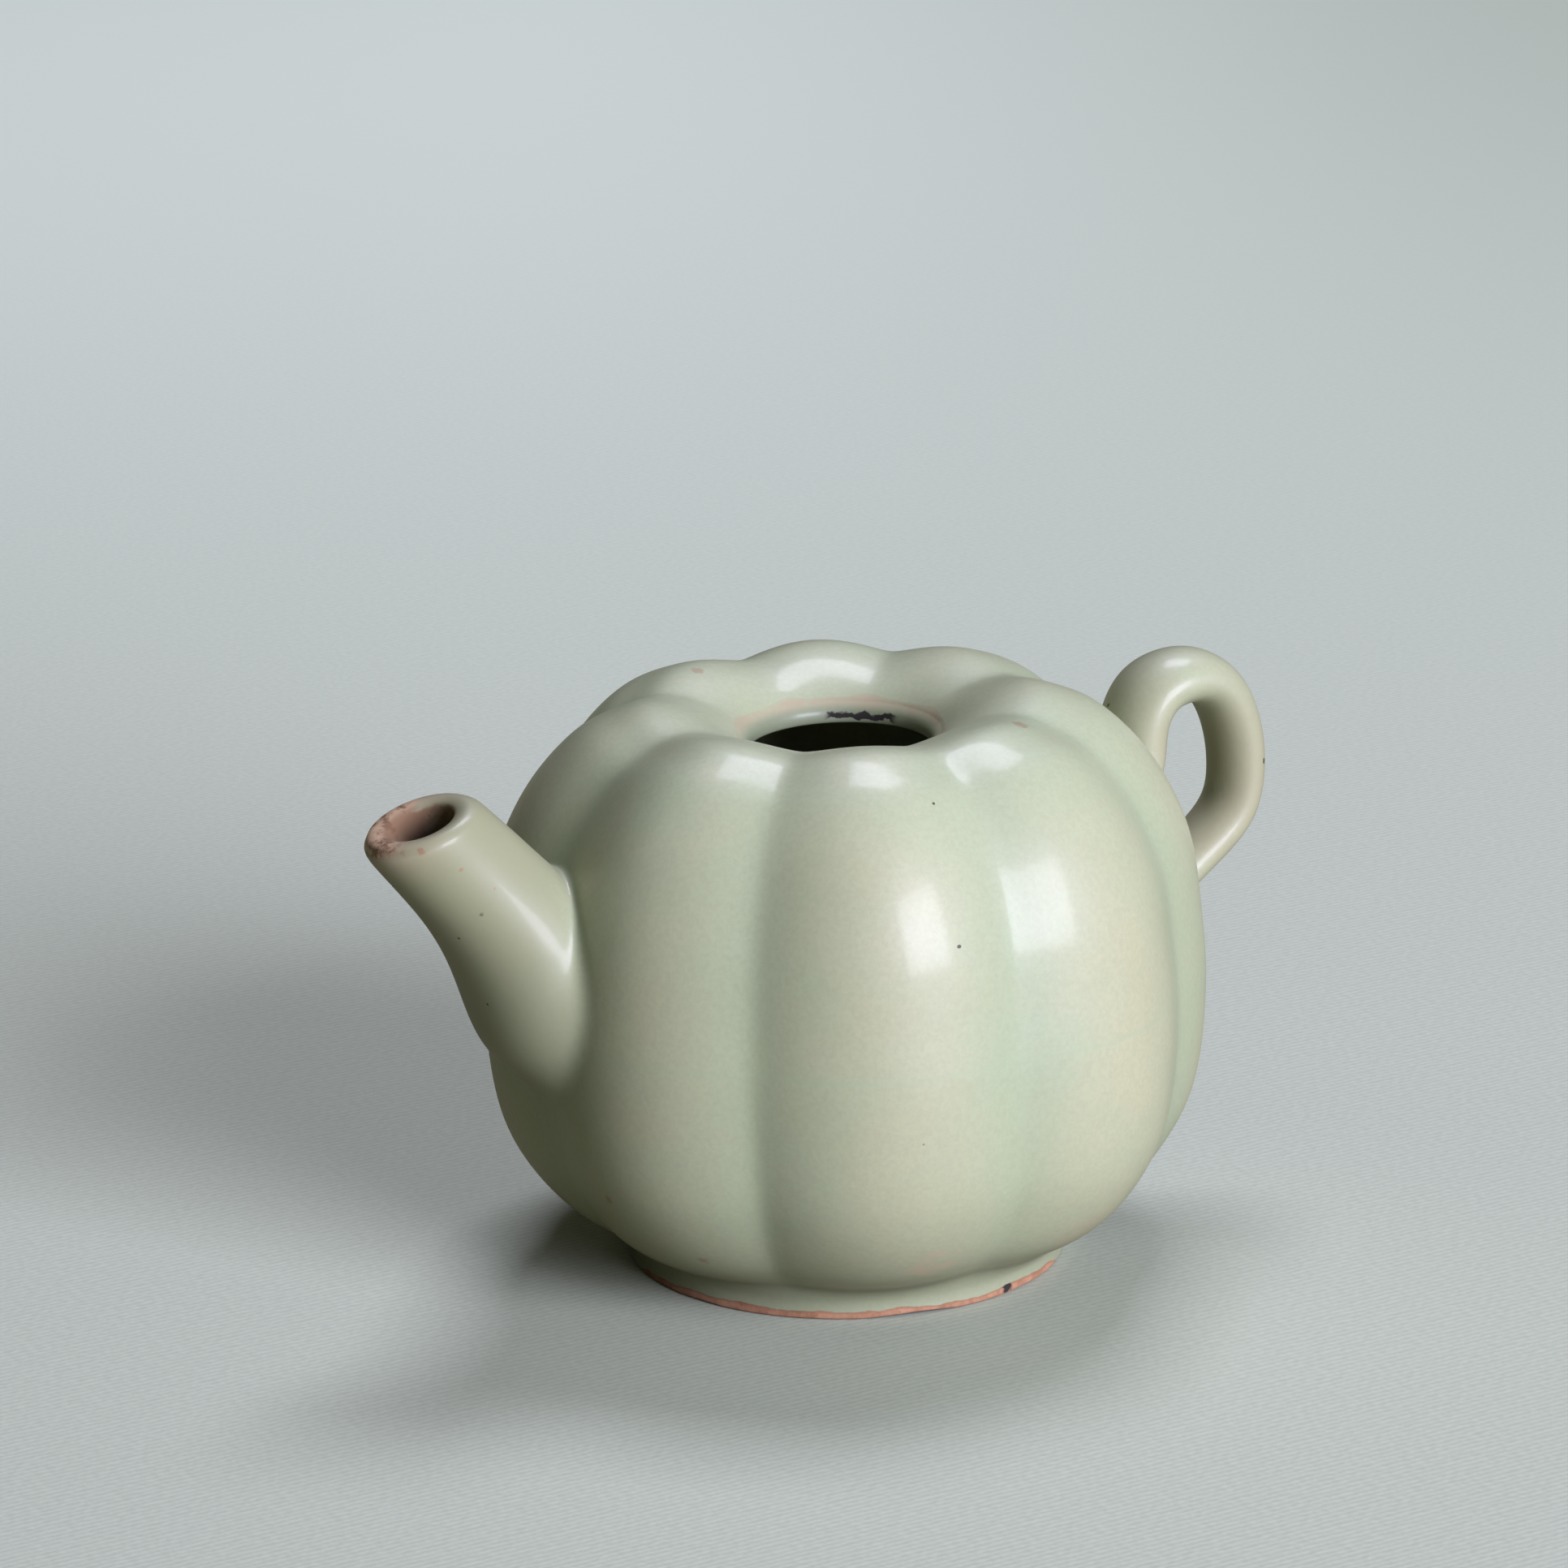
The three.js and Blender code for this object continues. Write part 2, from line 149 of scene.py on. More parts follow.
def smooth_line(points, cuts):
    """A smooth line through points, with new points between each two. It leaves a point in the direction
    of the line through that point's neighbours."""
    line = []
    for index in range(len(points) - 1):
        start, end = points[index], points[index + 1]
        before = points[max(index - 1, 0)]
        after = points[min(index + 2, len(points) - 1)]
        line += interpolate_bezier(start, start + (end - before) / 6, end - (after - start) / 6,
                                   end, cuts + 2)[:-1]
    return line + [points[-1]]


crest_line = smooth_line([Vector(point) for point in CREST_POINTS], CREST_CUTS)


def pick_only(piece):
    """Selects one piece alone and makes it the active one."""
    bpy.ops.object.select_all(action="DESELECT")
    piece.select_set(True)
    bpy.context.view_layer.objects.active = piece


def start_ring(sides, centre, reach, half_width, tilt=0.0, fill="NOTHING"):
    """A new piece that is one ring so far. Its reach lies in the plane Y = 0, turned up by tilt."""
    bpy.ops.object.select_all(action="DESELECT")
    bpy.ops.mesh.primitive_circle_add(vertices=sides, radius=reach, fill_type=fill,
                                      location=centre, rotation=(0, -tilt, 0))
    bpy.ops.object.transform_apply(location=True, rotation=True, scale=True)
    bpy.ops.object.mode_set(mode="EDIT")
    bpy.ops.mesh.select_mode(type="EDGE")
    bpy.ops.mesh.select_all(action="SELECT")
    bpy.ops.transform.resize(value=(1, half_width / reach, 1), center_override=centre)
    return centre, reach, half_width, tilt


def add_ring(last, centre, reach, half_width, tilt=0.0):
    """Extrudes the selected ring to a new centre, size and tilt."""
    last_centre, last_reach, last_half_width, last_tilt = last
    bpy.ops.mesh.extrude_region_move(TRANSFORM_OT_translate={"value": centre - last_centre})
    if bpy.context.object.vertex_groups:
        bpy.ops.object.vertex_group_remove_from(use_all_groups=True)
    if abs(tilt - last_tilt) > TINY:
        bpy.ops.transform.rotate(value=tilt - last_tilt, orient_axis="Y", center_override=centre)
    grow = reach / last_reach
    bpy.ops.transform.resize(value=(grow, half_width / last_half_width, grow), center_override=centre)
    return centre, reach, half_width, tilt


def turned_ring(last, radius, height):
    """The next ring of a piece that is turned about the body's axis, in millimetres."""
    return add_ring(last, on_axis(0, height), radius * MM, radius * MM)


def select_open_edge():
    """Selects the free edge of the piece in edit mode, from which its next ring grows."""
    bpy.ops.mesh.select_all(action="DESELECT")
    bpy.ops.mesh.select_non_manifold()


def clean_normals():
    """Merges doubles and turns the faces of the piece in edit mode outwards."""
    bpy.ops.mesh.select_all(action="SELECT")
    bpy.ops.mesh.remove_doubles(threshold=TINY)
    bpy.ops.mesh.normals_make_consistent(inside=False)
    bpy.ops.object.mode_set(mode="OBJECT")


def finish_modifier(piece, kind, **settings):
    """Adds a modifier to a piece and applies it."""
    modifier = piece.modifiers.new(kind.lower(), kind)
    for name, value in settings.items():
        setattr(modifier, name, value)
    pick_only(piece)
    bpy.ops.object.modifier_apply(modifier=modifier.name)


def fullness(angle, height):
    """0 in a groove and 1 on a crest. The grooves are crisp low down and soft on the shoulder."""
    rise = min(1, max(0, (height - CRISP_HEIGHT) / (SOFT_HEIGHT - CRISP_HEIGHT)))
    softness = GROOVE_CRISP + (GROOVE_SOFT - GROOVE_CRISP) * rise
    wave = abs(math.sin(angle * LOBES / 2))
    return (math.hypot(wave, softness) - softness) / (math.hypot(1, softness) - softness)


def groove_share(point):
    """How deep the groove is beside a point of the turned skin, as a share of its full depth."""
    radius = math.hypot(point.x - AXIS_X, point.y) / MM
    height = point.z / MM
    if radius < FLOOR_EDGE and height < SEAM_HEIGHT / MM:
        return 0
    nearest = min(crest_line, key=lambda step: (step.x - radius) ** 2 + (step.y - height) ** 2)
    return nearest.z * (1 - fullness(math.atan2(point.y, point.x - AXIS_X), height))


def dent_share(point):
    """How far the dent pushes a point of the turned skin in, as a share of a groove's depth."""
    outwards = Vector((math.cos(DENT_AZIMUTH), math.sin(DENT_AZIMUTH), 0))
    middle = on_axis(0, DENT_HEIGHT) + outwards * DENT_REACH * MM
    return DENT_SHARE * math.exp(-((point - middle).length / (DENT_RADIUS * MM)) ** 2)


def pool_share(point):
    """How much glaze has run together at a point of the skin: in a groove, or round the spout's root."""
    away = point - on_axis(*SPOUT_ROOT)
    beyond = math.hypot(away.y / SPOUT_ROOT_WIDE, away.z / SPOUT_ROOT_TALL) / MM - 1
    near = math.exp(-max(0, beyond) / ROOT_POOL) if point.x < AXIS_X else 0
    return max(groove_share(point), near)


def keep_shares(piece, name, shares):
    """Keeps a share for each point of a piece, for its material to read."""
    piece.data.attributes.new(name, "FLOAT", "POINT")
    piece.data.attributes[name].data.foreach_set("value", shares)


first_step = FLOOR_STEPS[0] * MM
ring = start_ring(BODY_SIDES, on_axis(0, BASE_HEIGHT / MM), first_step, first_step, fill="TRIFAN")
select_open_edge()
for radius in FLOOR_STEPS[1:]:
    ring = turned_ring(ring, radius, BASE_HEIGHT / MM)
for step in crest_line:
    ring = turned_ring(ring, step.x, step.y)
clean_normals()
shell = bpy.context.object

# The columns of points are drawn together beside the grooves, so that these stay crisp.
for vertex in shell.data.vertices:
    turn = math.atan2(vertex.co.y, vertex.co.x - AXIS_X)
    radius = math.hypot(vertex.co.x - AXIS_X, vertex.co.y)
    turn -= GROOVE_GATHER * math.sin(LOBES * turn) / LOBES
    vertex.co.x = AXIS_X + radius * math.cos(turn)
    vertex.co.y = radius * math.sin(turn)

keep_shares(shell, "glaze_pool", [pool_share(vertex.co) for vertex in shell.data.vertices])
grooves = shell.vertex_groups.new(name="grooves")
for vertex in shell.data.vertices:
    grooves.add([vertex.index], groove_share(vertex.co) + dent_share(vertex.co), "REPLACE")
finish_modifier(shell, "DISPLACE", direction="NORMAL", mid_level=0, strength=-GROOVE_DEPTH,
                vertex_group="grooves")
finish_modifier(shell, "SOLIDIFY", thickness=WALL, offset=-1, material_offset=1)
finish_modifier(shell, "SUBSURF", levels=WALL_FINENESS, render_levels=WALL_FINENESS)
shell.data.shade_smooth()
skin = BVHTree.FromObject(shell, bpy.context.evaluated_depsgraph_get())


def half_of_shell(name, keep_upper):
    """A copy of the shell, cut flat at the seam, with one half kept."""
    half = shell.copy()
    half.data = shell.data.copy()
    half.name = name
    bpy.context.collection.objects.link(half)
    pick_only(half)
    bpy.ops.object.mode_set(mode="EDIT")
    bpy.ops.mesh.select_all(action="SELECT")
    bpy.ops.mesh.bisect(plane_co=(0, 0, SEAM_HEIGHT), plane_no=UP, use_fill=True,
                        clear_inner=keep_upper, clear_outer=not keep_upper)
    bpy.ops.object.mode_set(mode="OBJECT")
    return half


class Nodes:
    """Adds and links the nodes of one material. A share is a number or another node's socket."""

    def __init__(self, name):
        self.material = bpy.data.materials.new(name)
        self.material.use_nodes = True
        self.tree = self.material.node_tree
        self.shader = self.tree.nodes["Principled BSDF"]
        self.place = self.tree.nodes.new("ShaderNodeTexCoord").outputs["Object"]

    def add(self, kind, inputs=None, **settings):
        node = self.tree.nodes.new("ShaderNode" + kind)
        for name, value in settings.items():
            setattr(node, name, value)
        for name, value in (inputs or {}).items():
            self.set(node.inputs[name], value)
        return node

    def set(self, socket, value):
        if isinstance(value, bpy.types.NodeSocket):
            self.tree.links.new(value, socket)
        else:
            socket.default_value = value

    def kept(self, name):
        """A share that was kept for each point of the piece."""
        return self.add("Attribute", attribute_name=name).outputs["Fac"]

    def noise(self, scale, detail=2.0, roughness=0.5):
        node = self.add("TexNoise", {"Vector": self.place, "Scale": scale, "Detail": detail,
                                     "Roughness": roughness})
        return node.outputs["Fac"]

    def between(self, value, low, high, most=1.0):
        """0 at low and most at high, also where low is the larger of the two."""
        node = self.add("MapRange", {"Value": value, "From Min": low, "From Max": high, "To Max": most},
                        interpolation_type="SMOOTHSTEP")
        return node.outputs["Result"]

    def span(self, value, distances, most=1.0):
        """0 at the first of two distances in millimetres, and most at the second."""
        return self.between(value, distances[0] * MM, distances[1] * MM, most)

    def patches(self, scale, low, high, detail=2.0, roughness=0.5, most=1.0):
        """Cloudy patches: 0 where the noise is at low, and most where it is at high."""
        return self.between(self.noise(scale, detail, roughness), low, high, most)

    def math(self, operation, first, second=0.0):
        return self.add("Math", {0: first, 1: second}, operation=operation).outputs[0]

    def product(self, first, *others):
        """Shares multiplied with one another."""
        for other in others:
            first = self.math("MULTIPLY", first, other)
        return first

    def rest_of(self, share):
        """What is left of 1 beside a share."""
        return self.math("SUBTRACT", 1.0, share)

    def mix(self, share, first, second):
        node = self.add("Mix", data_type="RGBA")
        self.set(node.inputs["Factor"], share)
        self.set(node.inputs[6], first)
        self.set(node.inputs[7], second)
        return node.outputs[2]

    def vector(self, operation, first, second=(0, 0, 0)):
        node = self.add("VectorMath", {0: first, 1: second}, operation=operation)
        is_number = operation in ["DOT_PRODUCT", "DISTANCE", "LENGTH"]
        return node.outputs["Value" if is_number else "Vector"]

    def along(self, origin, direction):
        """How far a point lies from origin in a direction."""
        return self.vector("DOT_PRODUCT", self.vector("SUBTRACT", self.place, origin), direction)

    def height(self):
        """How high a point lies above the table."""
        return self.along((0, 0, 0), UP)

    def from_line(self, origin, direction):
        """How far a point lies from the line through origin in a direction."""
        away = self.vector("SUBTRACT", self.place, origin)
        return self.vector("LENGTH", self.vector("CROSS_PRODUCT", away, direction))

    def ragged(self, value, scale, spread):
        """A value that wanders by up to spread with the place."""
        swing = self.math("SUBTRACT", self.noise(scale, detail=4), 0.5)
        return self.math("ADD", value, self.math("MULTIPLY", swing, 2 * spread))

    def marks(self, places, most=1.0):
        """Most on small uneven marks, each given by its place about the axis and its radius in mm."""
        found = 0.0
        for across, aside, height, radius in places:
            middle = on_axis(across, height) + Vector((0, aside * MM, 0))
            distance = self.vector("DISTANCE", self.place, middle)
            distance = self.ragged(distance, MARK_SCALE, MARK_SPREAD * radius * MM)
            mark = self.span(distance, [share * radius for share in MARK_EDGE], most)
            found = self.math("MAXIMUM", found, mark)
        return found


def glaze_colour(nodes):
    """The glaze's colour: thick or thin, with faint pink flushes, mottling and a fine grain, and darkened
    low in the cove as painted shade.
    """
    drift = nodes.patches(scale=24, detail=3, low=0.36, high=0.64)
    colour = nodes.mix(drift, GLAZE_SAGE, GLAZE_BUFF)
    patch = nodes.patches(scale=38, detail=4, roughness=0.55, low=0.5, high=0.66, most=0.55)
    colour = nodes.mix(patch, colour, GLAZE_GREEN)
    cloud = nodes.patches(scale=110, detail=5, roughness=0.6, low=0.4, high=0.7, most=0.25)
    colour = nodes.mix(cloud, colour, GLAZE_POOLED)
    pooled = nodes.product(nodes.kept("glaze_pool"), POOLED_SHARE)
    colour = nodes.mix(pooled, colour, GLAZE_POOLED)
    flush = nodes.patches(scale=50, detail=6, roughness=0.72, low=0.6, high=0.78, most=0.2)
    colour = nodes.mix(flush, colour, GLAZE_PINK)
    level = nodes.ragged(nodes.height(), scale=60, spread=2 * MM)
    colour = nodes.mix(nodes.span(level, SHOULDER_SPAN, most=0.45), colour, GLAZE_GREEN)
    # Painted shade: the glaze is darkened towards the foot, low in the cove under the belly
    colour = nodes.mix(nodes.span(level, COVE_SHADE_SPAN, most=0.5), colour, DEEP_GLAZE_AND_SHADE)
    grain = nodes.patches(scale=1300, detail=4, roughness=0.7, low=0.3, high=0.7, most=0.18)
    return nodes.mix(grain, colour, GLAZE_GRAIN)


def finish_glaze(nodes, colour, cover=None):
    """Sets the shader. Where cover is 0 the glaze gives way to matt clay, and without it none does."""
    coat = COAT if cover is None else nodes.product(cover, COAT)
    cover = 1.0 if cover is None else cover
    bare = nodes.rest_of(cover)
    satin = nodes.add("MapRange", {"Value": nodes.noise(scale=160, detail=4), "To Min": SATIN_LOW,
                                   "To Max": SATIN_HIGH}).outputs["Result"]
    roughness = nodes.math("MAXIMUM", satin, nodes.product(bare, CLAY_ROUGHNESS))
    nodes.set(nodes.shader.inputs["Base Color"], colour)
    nodes.set(nodes.shader.inputs["Roughness"], roughness)
    nodes.set(nodes.shader.inputs["Coat Weight"], coat)
    nodes.shader.inputs["Specular IOR Level"].default_value = SPECULAR_LEVEL
    nodes.shader.inputs["Coat Roughness"].default_value = COAT_ROUGHNESS
    nodes.shader.inputs["Coat IOR"].default_value = COAT_IOR

    fine = nodes.math("ADD", nodes.product(bare, CLAY_SKIN), FINE_SKIN)
    fine = nodes.product(nodes.noise(scale=240, detail=4, roughness=0.6), fine)
    broad = nodes.product(nodes.noise(scale=70), BROAD_SKIN)
    uneven = nodes.math("ADD", nodes.math("ADD", fine, broad), nodes.product(cover, GLAZE_STEP))
    bump = nodes.add("Bump", {"Strength": SKIN_STRENGTH, "Distance": SKIN_DEPTH, "Height": uneven})
    nodes.set(nodes.shader.inputs["Normal"], bump.outputs["Normal"])


def dress(piece, *finishes):
    """Gives a piece its materials and smooth shading."""
    piece.data.materials.clear()
    for finish in finishes:
        piece.data.materials.append(finish.material)
    pick_only(piece)
    bpy.ops.object.shade_smooth_by_angle(angle=SMOOTH_ANGLE)


body_glaze = Nodes("body_celadon")
body_colour = glaze_colour(body_glaze)
from_waist = body_glaze.ragged(body_glaze.along((0, 0, SEAM_HEIGHT), UP), scale=90, spread=0.8 * MM)
from_waist = body_glaze.math("ABSOLUTE", from_waist)
body_colour = body_glaze.mix(body_glaze.span(from_waist, WAIST_SPAN, most=0.3), body_colour, GLAZE_POOLED)
broken = body_glaze.patches(scale=350, detail=5, roughness=0.7, low=0.4, high=0.65)
flushes = body_glaze.product(body_glaze.marks(BODY_FLUSHES, most=0.6), broken)
body_colour = body_glaze.mix(flushes, body_colour, GLAZE_PINK)
body_colour = body_glaze.mix(body_glaze.marks(BODY_RUST, most=0.5), body_colour, SPECK_RUST)
body_colour = body_glaze.mix(body_glaze.marks(BODY_SPECKS), body_colour, SPECK_BROWN)
finish_glaze(body_glaze, body_colour)

inside_glaze = Nodes("thin_glaze_inside")
inside_colour = inside_glaze.mix(inside_glaze.noise(scale=120, detail=4), INSIDE_BROWN, INSIDE_GREY)
inside_glaze.set(inside_glaze.shader.inputs["Base Color"], inside_colour)
inside_glaze.shader.inputs["Roughness"].default_value = INSIDE_ROUGHNESS

lower_half = half_of_shell("lobed_lower_half", False)
dress(lower_half, body_glaze, inside_glaze)
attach(lower_half, "root")
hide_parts("lower_body")

upper_half = half_of_shell("lobed_upper_half", True)
dress(upper_half, body_glaze, inside_glaze)
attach(upper_half, "root")
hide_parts("upper_body")

# Seam bead. The flat bead of slip along the inside of the seam, pressed on by finger. It keeps its
# turned solid, with a matt fired-slip finish.
SLIP_DARK = (0.30, 0.28, 0.21, 1)
SLIP_PALE = (0.42, 0.40, 0.31, 1)
SLIP_ROUGHNESS = 0.6

seam_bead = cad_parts["seam_bead"]
slip = Nodes("fired_slip_inside")
slip_colour = slip.mix(slip.noise(scale=300, detail=4), SLIP_DARK, SLIP_PALE)
slip.set(slip.shader.inputs["Base Color"], slip_colour)
slip.shader.inputs["Roughness"].default_value = SLIP_ROUGHNESS
seam_bead.data.materials.clear()
seam_bead.data.materials.append(slip.material)

# Spout. A short thrown cone of the same clay, cut on a slant at its lip, and luted over a round hole in
# the upper half with slip that is smoothed into the wall. Its rings run up the bore, over the lip and
# down the outside, and the last ones are laid on the body.
SPOUT_SIDES = 32
SPOUT_TIP = (-67.6, 76.2)
SPOUT_RUN = (0.618, -0.786)
BORE = 4.5
BORE_TILT = math.atan2(SPOUT_RUN[0], -SPOUT_RUN[1])
BORE_END = ((-46.8, 57.5), (-46.8, 41.9), BORE)
LIP_TILT = math.radians(18)
LIP_REACH = 8.4

# Rings below the lip: depths in the bore, then depth and radius of each ring over the lip, in mm
BORE_DEPTHS = [26, 14]
LIP_RINGS = [(5, BORE), (1.3, BORE + 0.1), (0.4, BORE + 0.5), (0, LIP_REACH - 2), (0.2, LIP_REACH - 0.7),
             (1.1, LIP_REACH)]

# Rings down the outside: the upper and the lower end in the plane Y = 0, and the half width, in mm
SPOUT_RINGS = [((-58.3, 77.6), (-75.6, 71.9), 8.6), ((-55.8, 75.0), (-73.0, 68.6), 8.8),
               ((-53.0, 72.1), (-69.5, 64.2), 9.3), ((-50.5, 69.4), (-65.8, 59.2), 10.1),
               ((-48.6, 67.4), (-62.5, 53.0), 11.2), ((-47.3, 66.1), (-60.1, 46.0), 12.3),
               ((-46.8, 65.6), (-57.6, 38.5), 13)]
SPOUT_SKIRT = ((-46.3, 65.6), (-52, 32), 15.2)
SPOUT_FEATHER = ((-45.6, 67.4), (-50, 27.5), 18.4)
SPOUT_EDGE = [("skirt", SPOUT_SKIRT), ("feather", SPOUT_FEATHER), ("sunk", SPOUT_FEATHER)]

# How far the rings at a piece's edge lie above the body's skin: its last ones sink into the wall
EDGE_RISE = {"skirt": 0.04 * MM, "feather": -0.15 * MM, "sunk": -2.2 * MM}
PIECE_FINENESS = 3

# Roots: how far pooled glaze reaches in the crease and up the spout, and over what distance the body's
# colour and shading fade into the piece
CREASE = 0.6 * MM
SPOUT_POOL = 4 * MM
FADE = 2.5 * MM
SPOUT_MELT = 2.5 * MM

# The hole through the upper half: how far below the lip its middle is, and its length
DRILL_SIDES = 64
DRILL_DEPTH = 32
DRILL_LENGTH = 20 * MM

# A darker grey-olive laid over the spout's glaze away from its root, as painted shade
SPOUT_SHADE_GREY = (0.235, 0.24, 0.138, 1)
SPOUT_SHADE_SHARE = 0.85
LIP_CLAY = (0.40, 0.28, 0.17, 1)
LIP_RUST = (0.16, 0.085, 0.04, 1)
BARE_SIDE = (-0.75, 0.66, 0)
UNDERSIDE = (-0.35, 0.25, -0.9)

# Distances in mm between which the finish changes: above the lip, where the bore is also darkened with
# depth as painted shade, towards its bare side, out from the middle of the bore, and down the underside,
# which is darkened as painted shade and glaze runs
BARE_BELOW_LIP = (-1.6, -0.8)
BARE_ASIDE = (0, 3)
THIN_BELOW_LIP = (-7, -1)
THIN_ASIDE = (-9, 5)
BORE_SPAN = (BORE + 1.2, BORE + 0.3)
BORE_TOP = (-0.2, -1)
BORE_BOTTOM = (-8, -6)
BORE_SHADE_SPAN = (-0.8, -6)
ROUGH_EDGE = (BORE + 1.6, BORE + 0.2)
RUNS_AND_SHADE_SPAN = (4, 20)
SPOUT_SPECKS = [(-62.6, -8.5, 64, 0.4), (-64.6, -5.3, 59.8, 0.25), (-60.3, -4.7, 49, 0.25)]
SPOUT_RUST = [(-58.6, -9.5, 63.4, 0.3), (-70.9, -7.3, 74.1, 0.6), (-60.8, -9.2, 67.5, 0.3),
              (-65.5, -8.7, 70.9, 0.35)]


def ring_between(upper, lower, half_width):
    """Centre, reach, half width and tilt of a ring between two points of the plane Y = 0."""
    high, low = on_axis(*upper), on_axis(*lower)
    across = high - low
    return (high + low) / 2, across.length / 2, half_width * MM, math.atan2(across.z, across.x)


def below_lip(depth, reach, tilt):
    """A round ring about the spout's middle line, some way down from the lip."""
    centre = on_axis(SPOUT_TIP[0] + SPOUT_RUN[0] * depth, SPOUT_TIP[1] + SPOUT_RUN[1] * depth)
    return centre, reach * MM, reach * MM, tilt


def mark_ring(piece, name):
    """Keeps the selected ring as a vertex group."""
    bpy.ops.object.vertex_group_assign_new()
    piece.vertex_groups[-1].name = name


def bridge_to(name):
    """Joins the selected ring to a kept one with faces."""
    bpy.ops.object.vertex_group_set_active(group=name)
    bpy.ops.object.vertex_group_select()
    bpy.ops.mesh.bridge_edge_loops()
    bpy.ops.object.mode_set(mode="OBJECT")


def lay_on_body(piece, *names, end=""):
    """Lays kept rings on the body's skin, or under it."""
    for name in names:
        finish_modifier(piece, "SHRINKWRAP", target=shell, vertex_group=end + name,
                        offset=EDGE_RISE[name], wrap_method="NEAREST_SURFACEPOINT",
                        wrap_mode="ABOVE_SURFACE")


def round_off(piece, fineness):
    """Turns a piece's faces outwards and rounds it."""
    bpy.ops.object.mode_set(mode="EDIT")
    clean_normals()
    finish_modifier(piece, "SUBSURF", levels=fineness, render_levels=fineness)


def glaze_pools_at_root(piece, reach):
    """Keeps how much glaze has run together: as on the body at the edge, and more in the crease."""
    pools = []
    near_root = []
    for vertex in piece.data.vertices:
        distance = skin.find_nearest(vertex.co)[3]
        on_skin = math.exp(-distance / CREASE)
        pools.append(on_skin * pool_share(vertex.co) + (1 - on_skin) * math.exp(-distance / reach))
        near_root.append(math.exp(-distance / FADE))
    keep_shares(piece, "glaze_pool", pools)
    keep_shares(piece, "near_root", near_root)


def melt_into_body(piece, reach):
    """Takes the body's shading over at a piece's edge, where slip hides the joint."""
    zone = piece.vertex_groups.new(name="root_zone")
    for vertex in piece.data.vertices:
        distance = skin.find_nearest(vertex.co)[3]
        zone.add([vertex.index], max(0, 1 - distance / reach) ** 2, "REPLACE")
    finish_modifier(piece, "DATA_TRANSFER", object=shell, use_loop_data=True,
                    data_types_loops={"CUSTOM_NORMAL"}, loop_mapping="POLYINTERP_NEAREST",
                    vertex_group="root_zone")
    piece.vertex_groups.clear()


def away_from_root(nodes, share):
    """A share that fades out where the piece runs into the body."""
    return nodes.product(share, nodes.rest_of(nodes.kept("near_root")))


ring = start_ring(SPOUT_SIDES, *ring_between(*BORE_END))
pouring_spout = bpy.context.object
pouring_spout.name = "pouring_spout"
mark_ring(pouring_spout, "bore_end")
for depth in BORE_DEPTHS:
    ring = add_ring(ring, *below_lip(depth, BORE, BORE_TILT))
for depth, radius in LIP_RINGS:
    ring = add_ring(ring, *below_lip(depth, radius, LIP_TILT))
for place in SPOUT_RINGS:
    ring = add_ring(ring, *ring_between(*place))
for name, place in SPOUT_EDGE:
    ring = add_ring(ring, *ring_between(*place))
    mark_ring(pouring_spout, name)
bridge_to("bore_end")
lay_on_body(pouring_spout, "skirt", "feather", "sunk")
round_off(pouring_spout, PIECE_FINENESS)
glaze_pools_at_root(pouring_spout, SPOUT_POOL)

spout_glaze = Nodes("spout_celadon")
lip_middle = on_axis(*SPOUT_TIP)
lip_up = Vector((-math.sin(LIP_TILT), 0, math.cos(LIP_TILT)))
above_lip = spout_glaze.along(lip_middle, lip_up)
uneven_lip = spout_glaze.ragged(above_lip, scale=400, spread=1.2 * MM)
from_bore = spout_glaze.from_line(lip_middle, lip_up)
aside = spout_glaze.ragged(spout_glaze.along(lip_middle, BARE_SIDE), scale=250, spread=2.5 * MM)
downwards = spout_glaze.ragged(spout_glaze.along(lip_middle, UNDERSIDE), scale=60, spread=3 * MM)

bare_bore = spout_glaze.product(spout_glaze.span(from_bore, BORE_SPAN),
                                spout_glaze.span(uneven_lip, BORE_TOP),
                                spout_glaze.span(uneven_lip, BORE_BOTTOM))
bare_lip = spout_glaze.product(spout_glaze.span(uneven_lip, BARE_BELOW_LIP),
                               spout_glaze.span(aside, BARE_ASIDE))
bare_clay = spout_glaze.math("MAXIMUM", bare_lip, bare_bore)
burnt = spout_glaze.patches(scale=330, detail=6, roughness=0.75, low=0.46, high=0.6)
burnt = spout_glaze.math("MAXIMUM", burnt, spout_glaze.span(from_bore, ROUGH_EDGE, most=0.85))
lip_colour = spout_glaze.mix(burnt, LIP_CLAY, LIP_RUST)
# Painted shade: the bore is darkened to the inside's brown with depth below the lip
lip_colour = spout_glaze.mix(spout_glaze.span(above_lip, BORE_SHADE_SPAN), lip_colour, INSIDE_BROWN)

# Painted shade: the spout is darkened to grey-olive, fading out where it runs into the body
spout_shade = away_from_root(spout_glaze, SPOUT_SHADE_SHARE)
spout_colour = spout_glaze.mix(spout_shade, glaze_colour(spout_glaze), SPOUT_SHADE_GREY)
# Painted shade with glaze runs: the spout's underside is darkened with the deep grey-green, away from the
# root
runs_and_underside_shade = away_from_root(spout_glaze, spout_glaze.span(downwards, RUNS_AND_SHADE_SPAN, most=0.28))
spout_colour = spout_glaze.mix(runs_and_underside_shade, spout_colour, DEEP_GLAZE_AND_SHADE)
thin = spout_glaze.product(spout_glaze.span(uneven_lip, THIN_BELOW_LIP, most=0.4),
                           spout_glaze.span(aside, THIN_ASIDE))
spout_colour = spout_glaze.mix(thin, spout_colour, GLAZE_PINK)
spout_colour = spout_glaze.mix(spout_glaze.marks(SPOUT_RUST, most=0.6), spout_colour, SPECK_RUST)
spout_colour = spout_glaze.mix(spout_glaze.marks(SPOUT_SPECKS), spout_colour, SPECK_BROWN)
spout_colour = spout_glaze.mix(bare_clay, spout_colour, lip_colour)
